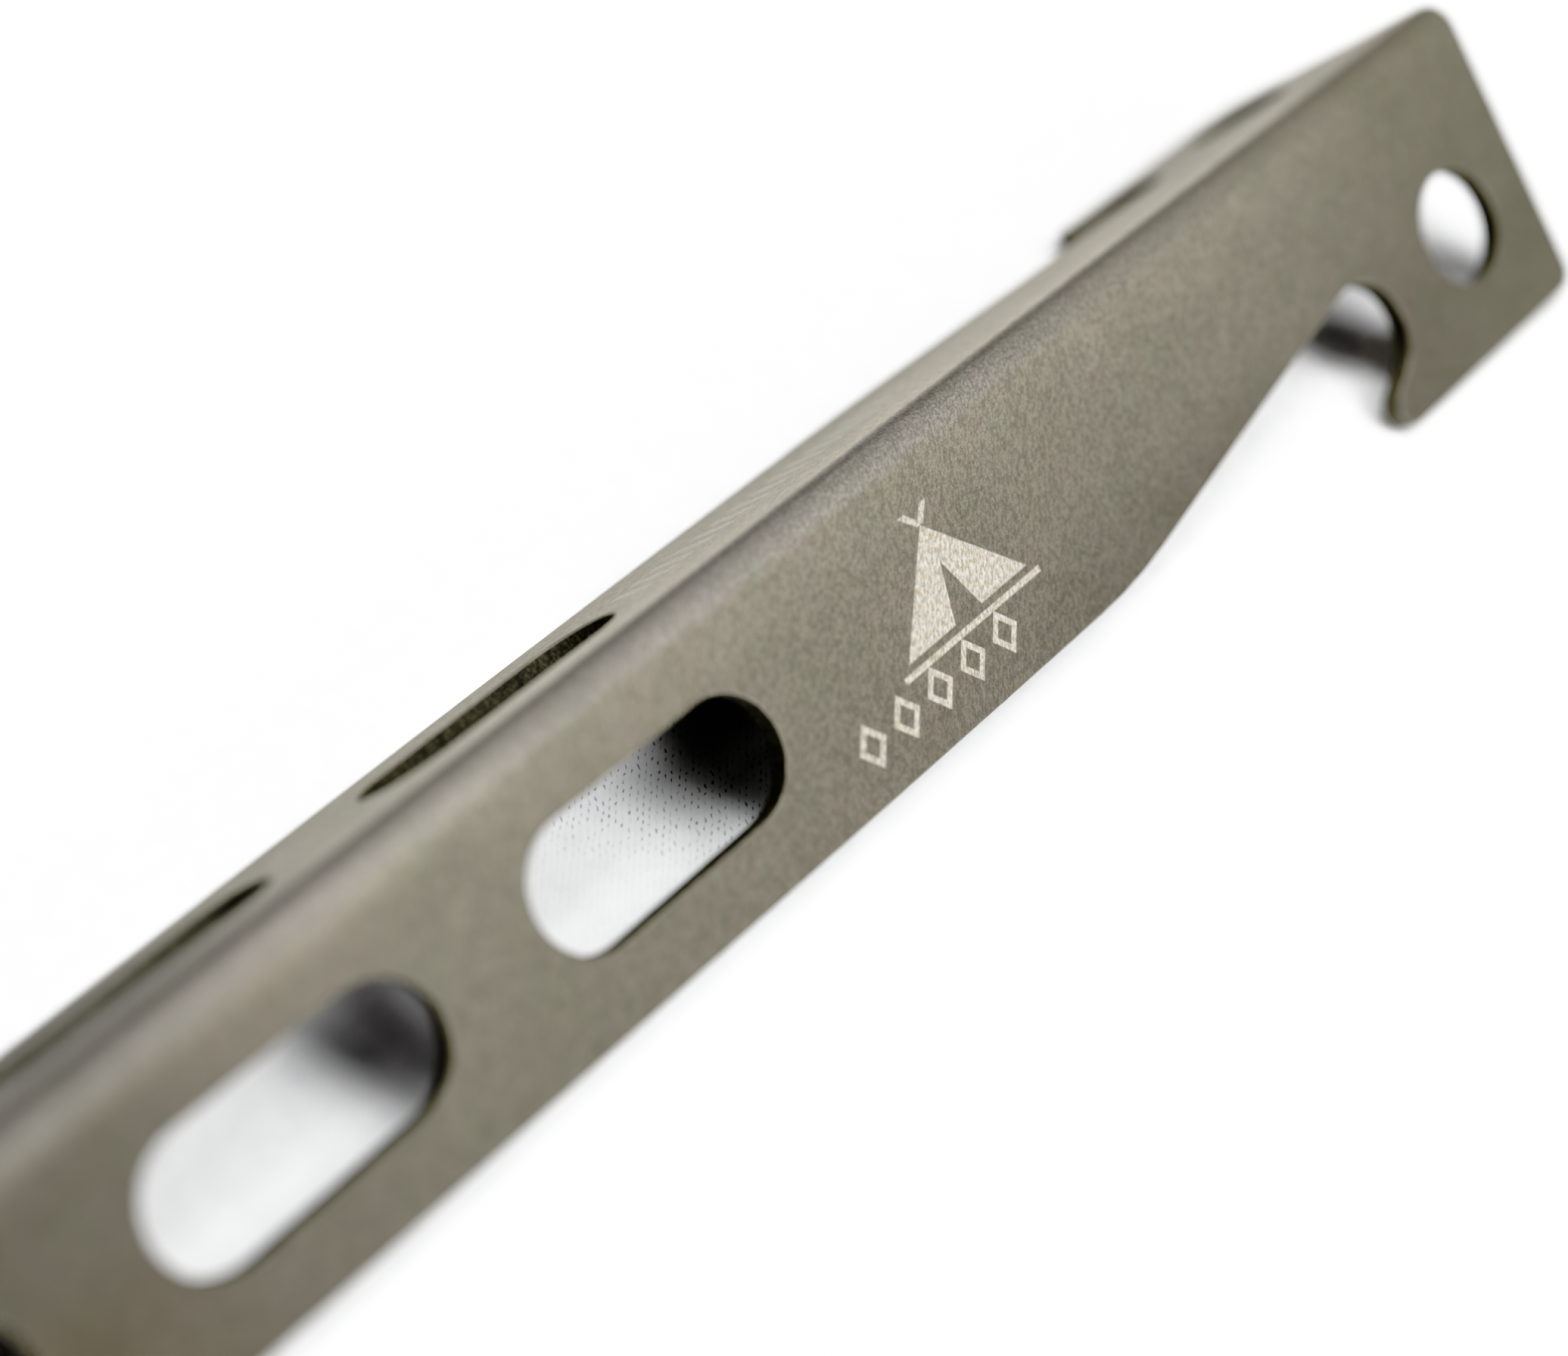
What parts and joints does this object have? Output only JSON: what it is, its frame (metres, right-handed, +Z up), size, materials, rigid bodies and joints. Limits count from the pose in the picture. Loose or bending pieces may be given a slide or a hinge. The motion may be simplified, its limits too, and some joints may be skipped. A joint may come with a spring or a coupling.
{
  "type": "tent stake",
  "caption": "Slotted V-section titanium tent stake folded from one sheet, with a drilled head, a hooked guy-line notch on each flange and a tapered point.",
  "frame": {"origin": "bottom centre of the bounding box, stake lying with its ridge up on the head's free edges", "axes": "+X along the ridge towards the head end, point at -X; +Z up through the ridge; the two flanges open down towards -Y (front) and +Y (back)"},
  "size_m": [0.165, 0.019, 0.0106],
  "materials": {
    "blasted_titanium": null
  },
  "bodies": {
    "root": {"stake_body": "blasted_titanium"}
  },
  "joints": []
}
